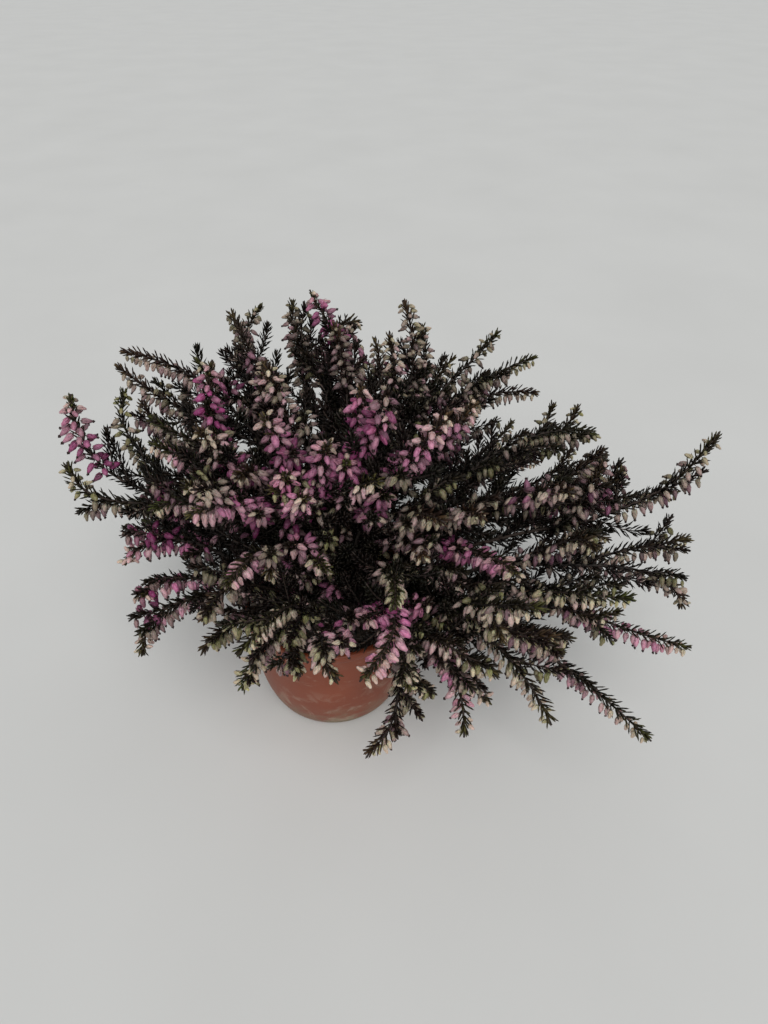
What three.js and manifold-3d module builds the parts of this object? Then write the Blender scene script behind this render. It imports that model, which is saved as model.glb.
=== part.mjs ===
// A winter heath, the Darley Dale hybrid, in flower in a round terracotta-coloured pot.
// Millimetres, +Z up. The origin is the middle of the pot's foot, on the surface that it stands on.
// -Y is the front of the plant, the side that hangs over the rim, and +X is its longer side.

import * as THREE from "three";
import { mergeVertices } from "three/addons/utils/BufferGeometryUtils.js";
import Module from "manifold-3d";

// Pot: a moulded bowl-shaped pot with a thin rolled lip
const POT_HEIGHT = 76;
const RIM_RADIUS = 50;
const FOOT_RADIUS = 34;
const POT_BELLY = 1.8;
const POT_SWELL = 0.38;
const POT_BANDS = [8, 16, 30, 48];
const WALL = 2;
const LIP_HEIGHT = 5;
const LIP_PROUD = 1.4;
const POT_SIDES = 26;
const DRAIN_HOLES = 4;
const DRAIN_RADIUS = 4;
const DRAIN_CIRCLE = 19;

// Compost: it fills the pot to just below the lip
const SOIL_TOP = 68;
const SOIL_CROWN = 3;
const SOIL_LUMP = 0.8;
const SOIL_SIDES = 16;
const FIT_GAP = 0.35;

// Roots: where the stems stand in the compost, spread so that each has room
const ROOT_DEPTH = 12;
const ROOT_CENTRE = 4;
const ROOT_SPREAD = 19;
const ROOT_LIMIT = 29;
const ROOT_SPACING = 7.2;
const ROOT_PUSHES = 60;
const ROOT_LEAN = 20;
const ROOT_CLIMB = 58;
const ROOT_SHIFT = 0.6;
const ROOT_PLAY = 0.77;

// Stems and side shoots: three-sided, bare wood at the root, thickest where old short leaves clothe the
// stem, and green and slim at the tip
const STEM_ROOT_RADIUS = 2;
const CLOTHED_RADIUS = 3.4;
const TWIG_ROOT_RADIUS = 0.62;
const RACEME_RADIUS = 1.2;
const TIP_RADIUS = 0.7;
const BARE_STEP = 32;
const CARRY_STEP = 0.04;
const ROOT_HANDLE = 0.42;
const TWIG_HANDLE = 0.35;
const TIP_HANDLE = 0.38;

// Whorls: short steps of the shoot, which bear its needles and flowers
const WHORL_HEIGHT = 1.3;
const TIP_WHORL = 4;
const WHORL_SPACING = 13;
const STEM_WHORLS = 4;
const TWIG_WHORLS = 3;
const STEEP = 0.85;

// Needles, at their real size
const NEEDLE_LENGTH = 9;
const NEEDLE_SWEEP = 0.75;
const NEEDLE_TIP_SWEEP = 1.5;
const NEEDLE_SPLAY = 0.45;
const NEEDLE_ROOM = 0.5;
const STRETCHES = 16;

// Flowers: hanging bells, larger than life so that they cover the shoots as the many small ones do
const FLOWER_LENGTH = 10.5;
const FLOWER_RADIUS = 3.1;
const FLOWER_WIDEST = 0.55;
const FLOWER_DROOP = 0.55;

const DEGREE = Math.PI / 180;
const UP = new THREE.Vector3(0, 0, 1);

// Each stem is a list of shoots. The first is the stem itself, from the compost to its tip:
//   [azimuth, reach, height, rise, turn]
// The others branch from it, at the joint nearest to a share of its length:
//   [along, azimuth, reach, height, rise, turn]
// Azimuth is in degrees round the pot, 0 at the front and 90 at +X. Reach is the tip's distance from
// the pot's axis. Rise is how steeply the tip points up, and turn how far it swings round as it grows.
const STEMS = [
  // left side
  [[-90, 114, 203, 104, 60], [0.42, -85, 120, 172, 53, -67], [0.36, -115, 118, 175, 126, 66]],
  [[-113, 112, 201, 14, 33], [0.45, -111, 114, 195, 38, -2], [0.38, -107, 93, 171, -22, -41]],
  [[-88, 81, 179, 32, -7], [0.4, -70, 84, 156, 4, 34], [0.45, -97, 47, 217, 118, 75]],
  [[-80, 105, 112, -64, -9], [0.5, -67, 99, 107, 2, 50], [0.45, -53, 106, 96, -42, 61]],
  // front, left of the middle
  [[-51, 70, 186, 52, 13], [0.5, -39, 79, 182, -12, -27]],
  [[-30, 79, 149, -7, 0], [0.5, -43, 84, 96, -45, -1], [0.45, -37, 85, 127, -24, 31]],
  [[-23, 88, 122, -21, -24], [0.5, -26, 84, 86, -62, 0], [0.45, -4, 88, 113, -4, 29]],
  [[6, 60, 149, 8, 20], [0.55, -20, 61, 140, -9, 29], [0.5, -27, 46, 179, 12, -41]],
  // front
  [[-15, 44, 189, 48, 36], [0.45, 0, 52, 183, 25, 40], [0.4, 10, 39, 201, 69, 22]],
  [
    [12, 105, 131, -34, -70],
    [0.55, 8, 106, 135, -22, 45],
    [0.5, 25, 96, 100, -43, -23],
    [0.3, 34, 94, 84, -47, 52],
  ],
  [[19, 45, 192, 45, -17], [0.5, 45, 46, 216, 60, 50]],
  [[48, 77, 170, 8, -12], [0.6, 38, 75, 155, 1, -41], [0.5, 24, 84, 147, 4, -33]],
  [[34, 53, 185, 29, 21], [0.5, 57, 59, 201, 58, 35], [0.55, 56, 66, 216, 57, 44]],
  [[54, 108, 152, 12, -27], [0.5, 55, 88, 171, 19, -38], [0.5, 46, 113, 125, -29, -31]],
  [
    [33, 120, 87, -33, -41],
    [0.3, 52, 106, 60, -60, 41],
    [0.6, 44, 116, 109, -30, 45],
    [0.6, 12, 102, 72, -15, -76],
  ],
  // right side
  [[47, 142, 91, -32, -22], [0.4, 50, 126, 152, 2, 35], [0.5, 54, 133, 126, -2, 26]],
  [[59, 180, 71, -12, -18], [0.5, 57, 134, 108, -9, 7], [0.45, 66, 134, 98, -27, 46]],
  [[78, 195, 73, 5, -10], [0.5, 73, 152, 108, 9, 39], [0.45, 66, 154, 136, 4, 23]],
  [[84, 191, 82, -70, 25], [0.5, 88, 191, 118, 1, 7], [0.45, 69, 136, 148, -9, -50]],
  [[94, 186, 133, -18, 19], [0.5, 93, 152, 156, 51, 45], [0.45, 72, 120, 174, 18, -40]],
  [[92, 192, 175, 56, 27], [0.45, 101, 155, 148, 26, -13], [0.5, 89, 138, 164, 16, 49]],
  [[109, 159, 143, -44, 16], [0.45, 111, 145, 165, 57, 43], [0.5, 119, 145, 155, 93, -75]],
  // back, high
  [[126, 152, 148, -13, -44], [0.5, 124, 139, 180, 15, -35], [0.45, 132, 118, 164, 37, 29]],
  [[132, 128, 192, 48, -37], [0.5, 141, 114, 175, 45, -33], [0.4, 82, 72, 206, 45, 44]],
  [[147, 94, 199, 106, -80], [0.5, 154, 93, 210, 50, 74], [0.4, 151, 69, 203, 104, -37]],
  [[171, 106, 186, -39, -28], [0.5, 168, 122, 170, 31, 42], [0.4, 158, 120, 142, 10, -39]],
  [[-174, 78, 220, 54, 54], [0.5, -167, 96, 205, 72, -15], [0.45, -168, 103, 188, 74, -23]],
  [[-157, 101, 203, 127, 73], [0.4, -142, 46, 202, 38, -52]],
  [[-148, 109, 199, 3, 0], [0.45, -125, 82, 196, 54, 32]],
  // back, low
  [[-132, 158, 112, 9, -9], [0.5, -142, 156, 140, 23, -52], [0.45, -124, 136, 150, 6, -21]],
  [[-112, 126, 84, -21, -25], [0.5, -102, 118, 116, -12, 21], [0.45, -120, 134, 70, -29, -19]],
  [[-155, 160, 96, -11, 11], [0.5, -164, 150, 130, 0, -46], [0.45, -148, 150, 70, -33, -20]],
  [[176, 156, 107, -5, 29], [0.5, -173, 150, 136, 14, 30], [0.45, 173, 161, 82, -1, -39]],
  [[154, 165, 94, -2, -9], [0.5, 160, 150, 132, 24, -51], [0.45, 148, 150, 68, -25, -21]],
  [[136, 168, 108, 11, 8], [0.5, 142, 158, 136, 27, -45], [0.45, 128, 172, 84, -20, -24]],
  [[112, 172, 92, -16, -11], [0.5, 117, 164, 120, 12, 34], [0.45, 104, 174, 72, -31, -24]],
  // crown
  [[-65, 56, 200, 58, 11], [0.5, -58, 63, 182, 39, -38]],
  [[60, 22, 216, 88, 23], [0.45, -130, 34, 208, 86, 36], [0.5, 175, 58, 212, 66, 33]],
  [[-35, 38, 212, 71, -24], [0.5, -38, 51, 186, 24, 38]],
];

const wasm = await Module();
wasm.setup();

// A closed three.js geometry as a solid that can be joined and cut
function solidOf(geometry) {
  const bare = geometry.clone();
  bare.deleteAttribute("normal");
  bare.deleteAttribute("uv");
  const merged = mergeVertices(bare, 1e-4);
  return new wasm.Manifold(
    new wasm.Mesh({
      numProp: 3,
      vertProperties: new Float32Array(merged.attributes.position.array),
      triVerts: new Uint32Array(merged.index.array),
    }),
  );
}

// A solid as a named mesh
function meshOf(name, solid, material) {
  const { vertProperties, triVerts } = solid.getMesh();
  const geometry = new THREE.BufferGeometry();
  geometry.setAttribute("position", new THREE.BufferAttribute(vertProperties, 3));
  geometry.setIndex(new THREE.BufferAttribute(triVerts, 1));
  const mesh = new THREE.Mesh(geometry, material);
  mesh.name = name;
  return mesh;
}

// A body of revolution about Z, from a profile of [radius, height] pairs that starts and ends on the axis
function turned(profile, sides) {
  const points = profile.map(([radius, height]) => new THREE.Vector2(radius, height));
  return new THREE.LatheGeometry(points, sides).rotateX(Math.PI / 2);
}

// The pot's outer radius at a height: it rounds out from the foot and runs up almost upright
function potRadius(height) {
  const share = height / POT_HEIGHT;
  const swell = (1 - (1 - share) ** POT_BELLY) ** POT_SWELL;
  return FOOT_RADIUS + (RIM_RADIUS - LIP_PROUD - FOOT_RADIUS) * swell;
}

function pot() {
  const lipFoot = POT_HEIGHT - LIP_HEIGHT;
  const body = turned(
    [
      [0, 0],
      [FOOT_RADIUS, 0],
      [potRadius(3), 3],
      ...POT_BANDS.map((height) => [potRadius(height), height]),
      [potRadius(lipFoot), lipFoot],
      [RIM_RADIUS, lipFoot + 1],
      [RIM_RADIUS, POT_HEIGHT - 1],
      [RIM_RADIUS - 1, POT_HEIGHT],
      [RIM_RADIUS - WALL - 1, POT_HEIGHT],
      [potRadius(lipFoot) - WALL, lipFoot],
      ...POT_BANDS.toReversed().map((height) => [potRadius(height) - WALL, height]),
      [FOOT_RADIUS - 1, WALL],
      [0, WALL],
    ],
    POT_SIDES,
  );
  const drill = new THREE.CylinderGeometry(DRAIN_RADIUS, DRAIN_RADIUS, 4 * WALL, 8)
    .rotateX(Math.PI / 2)
    .translate(DRAIN_CIRCLE, 0, 0);
  let drilled = solidOf(body);
  for (let k = 0; k < DRAIN_HOLES; k++) {
    drilled = drilled.subtract(solidOf(drill.clone().rotateZ((2 * Math.PI * k) / DRAIN_HOLES)));
  }
  return drilled;
}

// The compost's top: a low crown with small lumps
function soilHeight(x, y) {
  const crown = SOIL_CROWN * (1 - (Math.hypot(x, y) / RIM_RADIUS) ** 2);
  return SOIL_TOP + crown + SOIL_LUMP * (Math.sin(x / 4.1) + Math.cos(y / 3.3 + x / 9));
}

function compost(stemLines) {
  const flatness = Math.cos(Math.PI / POT_SIDES);
  const edge = (height) => [(potRadius(height) - WALL) * flatness - FIT_GAP, height];
  const geometry = turned(
    [
      [0, WALL + FIT_GAP],
      [FOOT_RADIUS - 1 - FIT_GAP, WALL + FIT_GAP],
      ...[...POT_BANDS, SOIL_TOP - 3].map(edge),
      ...[34, 18, 0].map((radius) => [radius, SOIL_TOP]),
    ],
    SOIL_SIDES,
  );
  const position = geometry.attributes.position;
  for (let i = 0; i < position.count; i++) {
    if (position.getZ(i) > SOIL_TOP - 1)
      position.setZ(i, soilHeight(position.getX(i), position.getY(i)));
  }
  return stemLines.reduce((pierced, [main]) => pierced.subtract(rootHole(main)), solidOf(geometry));
}

// A place round the pot's axis, and a direction that faces that way and rises by some degrees
function around(azimuth, reach, height) {
  const angle = azimuth * DEGREE;
  return new THREE.Vector3(reach * Math.sin(angle), -reach * Math.cos(angle), height);
}

function heading(azimuth, rise) {
  return around(azimuth, Math.cos(rise * DEGREE), Math.sin(rise * DEGREE));
}

// How far a stem leans out, from 0 for an upright one to 1 for one that reaches out level
function lean([, reach, height]) {
  return Math.min(1, reach / (reach + height - SOIL_TOP));
}

// Where the stems stand: each under its own tip, and all pushed apart until they have room
function rootPlaces() {
  const places = STEMS.map(([main]) => {
    const [azimuth, , , , turn = 0] = main;
    return around(azimuth - ROOT_SHIFT * turn, ROOT_CENTRE + ROOT_SPREAD * lean(main), 0);
  });
  for (let push = 0; push < ROOT_PUSHES; push++) {
    places.forEach((place, k) => {
      for (const other of places.slice(k + 1)) {
        const apart = other.clone().sub(place);
        const lack = Math.max(0, ROOT_SPACING - apart.length());
        apart.setLength(lack / 2);
        place.sub(apart);
        other.add(apart);
      }
    });
    places.forEach((place) => place.clampLength(0, ROOT_LIMIT));
  }
  return places;
}

// A shoot's line, from the way that it faces at its root to the way that it faces at its tip
function shootLine(root, rootWay, rootHandle, tip, tipWay) {
  return new THREE.CubicBezierCurve3(
    root,
    root.clone().addScaledVector(rootWay, rootHandle),
    tip.clone().addScaledVector(tipWay, -TIP_HANDLE * root.distanceTo(tip)),
    tip,
  );
}

// The lines of one stem and its side shoots
function linesOf([stem, ...sides], place) {
  const [azimuth, reach, height, rise, turn = 0] = stem;
  const root = place.clone().setZ(SOIL_TOP - ROOT_DEPTH);
  const rootAzimuth = Math.atan2(place.x, -place.y) / DEGREE;
  const end = around(azimuth, reach, height);
  const main = shootLine(
    root,
    heading(rootAzimuth, 90 - ROOT_LEAN * lean(stem)),
    Math.max(ROOT_CLIMB, ROOT_HANDLE * root.distanceTo(end)),
    end,
    heading(azimuth + turn, rise),
  );
  const { joints } = plan(main, false);
  const twigs = sides.map(([along, twigAzimuth, twigReach, twigHeight, twigRise, twigTurn = 0]) => {
    const share = takeNearest(joints, along);
    const start = main.getPointAt(share);
    const tip = around(twigAzimuth, twigReach, twigHeight);
    const way = tip.clone().sub(start).normalize().add(main.getTangentAt(share)).normalize();
    const handle = TWIG_HANDLE * start.distanceTo(tip);
    return shootLine(start, way, handle, tip, heading(twigAzimuth + twigTurn, twigRise));
  });
  return [main, ...twigs];
}

// The value nearest to a wish, taken from a list where another is left for the next
function takeNearest(values, wish) {
  const nearest = values.reduce((best, value) =>
    Math.abs(value - wish) < Math.abs(best - wish) ? value : best,
  );
  if (values.length > 1) values.splice(values.indexOf(nearest), 1);
  return nearest;
}

// The directions at a share of a line's length: along it, to its lower side, and across.
// They are level at the tip and are carried back from there, so that the shoot isn't twisted.
function directions(line, share) {
  const across = new THREE.Vector3().crossVectors(UP, line.getTangentAt(1));
  for (let back = 1; back > share; back -= CARRY_STEP) {
    across.projectOnPlane(line.getTangentAt(back)).normalize();
  }
  const along = line.getTangentAt(share);
  across.projectOnPlane(along).normalize();
  return { along, lower: new THREE.Vector3().crossVectors(across, along), across };
}

// The three corners of a shoot at a share of its length, the first on its lower side
function corners(line, share, radius) {
  const { lower, across } = directions(line, share);
  return [0, 1, 2].map((k) => {
    const angle = (k * 2 * Math.PI) / 3;
    return line
      .getPointAt(share)
      .addScaledVector(lower, radius * Math.cos(angle))
      .addScaledVector(across, radius * Math.sin(angle));
  });
}

// A surface that grows ring by ring, and from whose facets needles and flowers are raised
class Surface {
  vertices = [];
  triangles = [];

  add(vertex) {
    return this.vertices.push(vertex) - 1;
  }

  // The two facets of each side between two rings: one nearer the root, and one nearer the tip
  static facets(lower, upper) {
    return [0, 1, 2].map((k) => {
      const next = (k + 1) % 3;
      return [
        [lower[k], lower[next], upper[next]],
        [lower[k], upper[next], upper[k]],
      ];
    });
  }

  middle(facet) {
    const sum = new THREE.Vector3();
    facet.forEach((k) => sum.add(this.vertices[k]));
    return sum.divideScalar(3);
  }

  // Sides from a facet, or a ring, to a point
  point(facet, apex) {
    const top = this.add(apex);
    facet.forEach((k, i) => this.triangles.push(k, facet[(i + 1) % 3], top));
  }

  // Sides from a facet to a ring round its widest part, and on to its mouth
  bell(facet, way) {
    const root = this.middle(facet);
    const ray = this.vertices[facet[0]].clone().sub(root).projectOnPlane(way);
    ray.setLength(FLOWER_RADIUS);
    const centre = root.clone().addScaledVector(way, FLOWER_LENGTH * FLOWER_WIDEST);
    const ring = [0, 1, 2].map((k) =>
      this.add(ray.clone().applyAxisAngle(way, (k * 2 * Math.PI) / 3).add(centre)),
    );
    for (const facets of Surface.facets(facet, ring)) this.triangles.push(...facets.flat());
    this.point(ring, root.addScaledVector(way, FLOWER_LENGTH));
  }

  solid() {
    const geometry = new THREE.BufferGeometry().setFromPoints(this.vertices);
    geometry.setIndex(this.triangles);
    return solidOf(geometry);
  }
}

// The shortest distance between two straight stretches, each from a to b
function stretchDistance(first, second) {
  const u = first.b.clone().sub(first.a);
  const v = second.b.clone().sub(second.a);
  const w = first.a.clone().sub(second.a);
  const [uu, uv, vv, uw, vw] = [u.dot(u), u.dot(v), v.dot(v), u.dot(w), v.dot(w)];
  const spread = uu * vv - uv * uv;
  const clamp = (value) => Math.min(1, Math.max(0, value));
  let s = spread > 1e-9 ? clamp((uv * vw - vv * uw) / spread) : 0;
  const t = clamp((uv * s + vw) / vv);
  s = clamp((uv * t - uw) / uu);
  return w.addScaledVector(u, s).addScaledVector(v, -t).length();
}

// How a shoot is divided: the share of its length and the radius at each ring, the shares of its joints,
// and at which ring each whorl starts and what it bears
function plan(line, isTwig) {
  const length = line.getLength();
  const count = Math.min(
    isTwig ? TWIG_WHORLS : STEM_WHORLS,
    Math.floor((length - TIP_WHORL) / WHORL_SPACING - 0.6),
  );
  const bare = length - TIP_WHORL - WHORL_SPACING * (count + 0.5);
  const steps = Math.max(1, Math.round(bare / BARE_STEP));
  const rings = [];
  const whorls = [];
  const ring = (distance, radius) => rings.push({ share: distance / length, radius });
  const whorl = (distance, radius, bears) => {
    whorls.push({ ring: rings.length, bears });
    ring(distance, radius);
    ring(distance + WHORL_HEIGHT, radius);
  };
  const joints = [];
  ring(0, isTwig ? TWIG_ROOT_RADIUS : STEM_ROOT_RADIUS);
  for (let k = 1; k < steps; k++) {
    const distance = (bare * k) / steps;
    joints.push(distance / length);
    if (k > 1) whorl(distance, CLOTHED_RADIUS, "needles");
    else ring(distance, STEM_ROOT_RADIUS);
  }
  for (let k = count; k > 0; k--) {
    whorl(length - TIP_WHORL - WHORL_SPACING * k, RACEME_RADIUS, "flowers");
  }
  whorl(length - TIP_WHORL, TIP_RADIUS, "tip");
  if (joints.length === 0) joints.push(rings[whorls[0].ring].share);
  return { rings, whorls, joints };
}

// The straight stretches of a line, for telling what comes near it
function stretches(line, owner) {
  return Array.from({ length: STRETCHES }, (_, k) => ({
    a: line.getPointAt(k / STRETCHES),
    b: line.getPointAt((k + 1) / STRETCHES),
    radius: THREE.MathUtils.lerp(STEM_ROOT_RADIUS, TIP_RADIUS, k / STRETCHES),
    owner,
  }));
}

// Whether a piece reaches into the pot or the compost
function meetsPot({ a, b, radius }) {
  return [a, b].some(
    (point) =>
      point.z < POT_HEIGHT + radius + 1 && Math.hypot(point.x, point.y) < RIM_RADIUS + radius + 1,
  );
}

// One shoot. A needle or flower that would touch anything but its own shoot is left out.
function shoot(line, owner, isTwig, taken) {
  const surface = new Surface();
  const { rings, whorls } = plan(line, isTwig);
  const drawn = rings.map(({ share, radius }) =>
    corners(line, share, radius).map((corner) => surface.add(corner)),
  );
  surface.triangles.push(drawn[0][2], drawn[0][1], drawn[0][0]);
  surface.point(drawn.at(-1), line.getPoint(1));

  const room = (root, way, from, to, radius) => {
    const piece = {
      a: root.clone().addScaledVector(way, from),
      b: root.clone().addScaledVector(way, to),
      radius,
      owner,
    };
    const clear = taken.every(
      (other) =>
        other.owner === owner || stretchDistance(piece, other) > radius + other.radius + FIT_GAP,
    );
    if (!clear || meetsPot(piece)) return false;
    taken.push(piece);
    return true;
  };
  const plain = (facet) => surface.triangles.push(...facet);
  const needle = (facet, way) => {
    const root = surface.middle(facet);
    if (room(root, way, NEEDLE_ROOM, NEEDLE_LENGTH, NEEDLE_ROOM))
      surface.point(facet, root.clone().addScaledVector(way, NEEDLE_LENGTH));
    else plain(facet);
  };
  const flower = (facet, way) => {
    const reach = FLOWER_LENGTH - FLOWER_RADIUS;
    if (room(surface.middle(facet), way, FLOWER_RADIUS, reach, FLOWER_RADIUS))
      surface.bell(facet, way);
    else plain(facet);
  };

  for (let k = 0; k + 1 < rings.length; k++) {
    const sides = Surface.facets(drawn[k], drawn[k + 1]);
    const whorl = whorls.find(({ ring }) => ring === k);
    if (!whorl) {
      sides.flat().forEach(plain);
      continue;
    }
    const { along, lower, across } = directions(line, rings[k].share);
    const upperSide = Math.abs(along.z) > STEEP ? (k + owner.length) % 3 : 1;
    sides.forEach(([rear, front], side) => {
      const angle = ((2 * side + 1) * Math.PI) / 3;
      const out = lower
        .clone()
        .multiplyScalar(Math.cos(angle))
        .addScaledVector(across, Math.sin(angle));
      const beside = new THREE.Vector3().crossVectors(along, out);
      const swept = (sweep, splay) =>
        out.clone().addScaledVector(along, sweep).addScaledVector(beside, splay).normalize();
      if (whorl.bears === "tip") {
        plain(rear);
        needle(front, swept(NEEDLE_TIP_SWEEP, 0));
      } else if (whorl.bears === "needles" || side === upperSide) {
        needle(rear, swept(NEEDLE_SWEEP, NEEDLE_SPLAY));
        needle(front, swept(NEEDLE_SWEEP, -NEEDLE_SPLAY));
      } else {
        plain(front);
        flower(rear, out.addScaledVector(UP, -FLOWER_DROOP).normalize());
      }
    });
  }
  return surface.solid();
}

// The plain hole that a stem stands in: its first stretch, a little larger all round
function rootHole(main) {
  const [{ share: from, radius }, { share: to, radius: above }] = plan(main, false).rings;
  const surface = new Surface();
  const clear = ROOT_PLAY;
  const back = main.getTangentAt(0).multiplyScalar(-FIT_GAP);
  const bottom = corners(main, from, radius + clear).map((corner) => surface.add(corner.add(back)));
  const top = corners(main, to, above + clear).map((corner) => surface.add(corner));
  surface.triangles.push(bottom[2], bottom[1], bottom[0], ...top);
  surface.triangles.push(...Surface.facets(bottom, top).flat(2));
  return surface.solid();
}

const terracotta = new THREE.MeshStandardMaterial({
  color: 0x9c5a44,
  roughness: 0.6,
  metalness: 0,
});
const peat = new THREE.MeshStandardMaterial({ color: 0x241b15, roughness: 1, metalness: 0 });
const heather = new THREE.MeshStandardMaterial({ color: 0x8d6a70, roughness: 0.7, metalness: 0 });

const plant = new THREE.Group();
const places = rootPlaces();
const stemLines = STEMS.map((stem, k) => linesOf(stem, places[k]));
const names = STEMS.map((_, k) => "stem_" + String(k + 1).padStart(2, "0"));
const owners = stemLines.map((lines, k) => lines.map((_, shootIndex) => names[k] + "." + shootIndex));
const taken = stemLines.flatMap((lines, k) =>
  lines.flatMap((line, shootIndex) => stretches(line, owners[k][shootIndex])),
);

plant.add(meshOf("pot", pot(), terracotta));
plant.add(meshOf("compost", compost(stemLines), peat));
stemLines.forEach((lines, k) => {
  const shoots = lines.map((line, shootIndex) =>
    shoot(line, owners[k][shootIndex], shootIndex > 0, taken),
  );
  plant.add(meshOf(names[k], shoots.reduce((whole, part) => whole.add(part)), heather));
});

export default plant;
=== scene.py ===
import math
import random

import bmesh
import bpy
import numpy as np
from mathutils import Matrix, Vector, geometry, noise


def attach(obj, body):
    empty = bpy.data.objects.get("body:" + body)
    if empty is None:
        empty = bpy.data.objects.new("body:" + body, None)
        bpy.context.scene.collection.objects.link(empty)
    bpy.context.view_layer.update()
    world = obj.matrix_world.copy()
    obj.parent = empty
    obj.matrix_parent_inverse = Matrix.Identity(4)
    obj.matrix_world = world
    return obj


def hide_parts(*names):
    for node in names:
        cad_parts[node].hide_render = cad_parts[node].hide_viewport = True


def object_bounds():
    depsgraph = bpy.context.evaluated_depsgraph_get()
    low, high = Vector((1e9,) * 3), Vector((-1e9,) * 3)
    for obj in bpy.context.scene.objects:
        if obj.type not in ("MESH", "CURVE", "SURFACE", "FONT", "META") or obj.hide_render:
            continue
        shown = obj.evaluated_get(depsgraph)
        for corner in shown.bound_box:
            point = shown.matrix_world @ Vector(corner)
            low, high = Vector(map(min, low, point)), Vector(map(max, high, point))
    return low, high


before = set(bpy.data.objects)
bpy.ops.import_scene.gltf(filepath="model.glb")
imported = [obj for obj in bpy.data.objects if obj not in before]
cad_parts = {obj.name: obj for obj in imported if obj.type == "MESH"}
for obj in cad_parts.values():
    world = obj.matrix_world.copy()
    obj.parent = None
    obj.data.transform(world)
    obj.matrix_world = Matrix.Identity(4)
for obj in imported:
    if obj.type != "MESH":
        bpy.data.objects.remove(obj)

cad_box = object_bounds()

# ---------------------------------------------------------------------------------------------------------
# The pot. A thin bowl-shaped nursery pot of terracotta-coloured polypropylene, injection moulded in one
# shot, with a rolled lip and four drain holes in its foot. It has stood on wet benches, so lime and soil
# have dried on it low down. Sizes are in millimetres up to the moment a shape becomes a mesh in metres.
# ---------------------------------------------------------------------------------------------------------

MILLIMETRE = 0.001
POT_HEIGHT = 76
RIM_RADIUS = 50
FOOT_RADIUS = 34
FOOT_RING = 27
FOOT_HOLLOW = 1.2
HOLLOW_RADIUS = 24
POT_BELLY = 1.8
POT_SWELL = 0.38
POT_STEPS = 96
WALL = 2
LIP_HEIGHT = 5
LIP_PROUD = 1.4
LIP_ROUND = 1.2
LIP_CURVE = (0, 0.5, 1.05, 1.57)
DRAIN_HOLES = 4
DRAIN_RADIUS = 4
DRAIN_CIRCLE = 19
DRILL_SIDES = 24
DRILL_LENGTH = 16
LIME_TOP = 44
STAIN_TOP = 27
STAIN_FULL = 6
WELD = 0.01


def pot_radius(height):
    """The pot's outer radius: it rounds out from the foot and runs up almost upright"""
    swell = (1 - (1 - height / POT_HEIGHT) ** POT_BELLY) ** POT_SWELL
    return FOOT_RADIUS + (RIM_RADIUS - LIP_PROUD - FOOT_RADIUS) * swell


def turned(profile, steps):
    """A closed body of revolution about Z, from a profile of (radius, height) that ends on the axis"""
    shape = bmesh.new()
    points = [shape.verts.new((radius, 0, height)) for radius, height in profile]
    edges = [shape.edges.new(pair) for pair in zip(points, points[1:])]
    bmesh.ops.spin(
        shape,
        geom=points + edges,
        cent=(0, 0, 0),
        axis=(0, 0, 1),
        angle=math.tau,
        steps=steps,
        use_merge=True,
    )
    bmesh.ops.remove_doubles(shape, verts=shape.verts, dist=WELD)
    bmesh.ops.recalc_face_normals(shape, faces=shape.faces)
    return shape


def keep(name, shape, node, materials):
    """Makes a shape in millimetres into a smooth piece in metres that stands for its CAD node"""
    shape.transform(Matrix.Scale(MILLIMETRE, 4))
    mesh = bpy.data.meshes.new(name)
    shape.to_mesh(mesh)
    shape.free()
    mesh.shade_smooth()
    for material in materials:
        mesh.materials.append(material)
    piece = bpy.data.objects.new(name, mesh)
    bpy.context.scene.collection.objects.link(piece)
    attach(piece, "root")
    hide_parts(node)
    return piece


def linear(code):
    """An sRGB hex colour as linear red, green, blue and alpha"""
    shares = [int(code[k : k + 2], 16) / 255 for k in (1, 3, 5)]
    return (*(s / 12.92 if s <= 0.04045 else ((s + 0.055) / 1.055) ** 2.4 for s in shares), 1)


def per_mm(size):
    """The scale of a pattern whose features are this many millimetres across"""
    return 1 / (size * MILLIMETRE)


def new_material(name):
    """A material with no nodes in it yet"""
    material = bpy.data.materials.new(name)
    material.use_nodes = True
    material.node_tree.nodes.clear()
    return material


def add(material, kind, inputs=None, **settings):
    """Adds a node with its settings, and gives each input a value or links it to another node's output"""
    made = material.node_tree.nodes.new("ShaderNode" + kind)
    for name, value in settings.items():
        setattr(made, name, value)
    for name, value in (inputs or {}).items():
        if isinstance(value, bpy.types.NodeSocket):
            material.node_tree.links.new(value, made.inputs[name])
        else:
            made.inputs[name].default_value = value
    return made


lip_foot = POT_HEIGHT - LIP_HEIGHT
pot_floor = WALL + FOOT_HOLLOW
wall_heights = [0.5, 1.2, 2.5, 5, 9, 14, 20, 28, 38, 48, 60, lip_foot - 1.5]
foot_turn = [
    (0, FOOT_HOLLOW),
    (HOLLOW_RADIUS / 2, FOOT_HOLLOW),
    (HOLLOW_RADIUS, FOOT_HOLLOW),
    (FOOT_RING, 0),
    (FOOT_RADIUS - 1, 0),
    (FOOT_RADIUS + 1, 0.15),
]
lip_ledge = [
    (pot_radius(lip_foot) + 0.2, lip_foot),
    (RIM_RADIUS - 0.4, lip_foot + 0.3),
    (RIM_RADIUS, lip_foot + 1),
]
lip_turn = [
    (RIM_RADIUS - LIP_ROUND + LIP_ROUND * math.cos(a), POT_HEIGHT - LIP_ROUND + LIP_ROUND * math.sin(a))
    for a in LIP_CURVE
]
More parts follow.
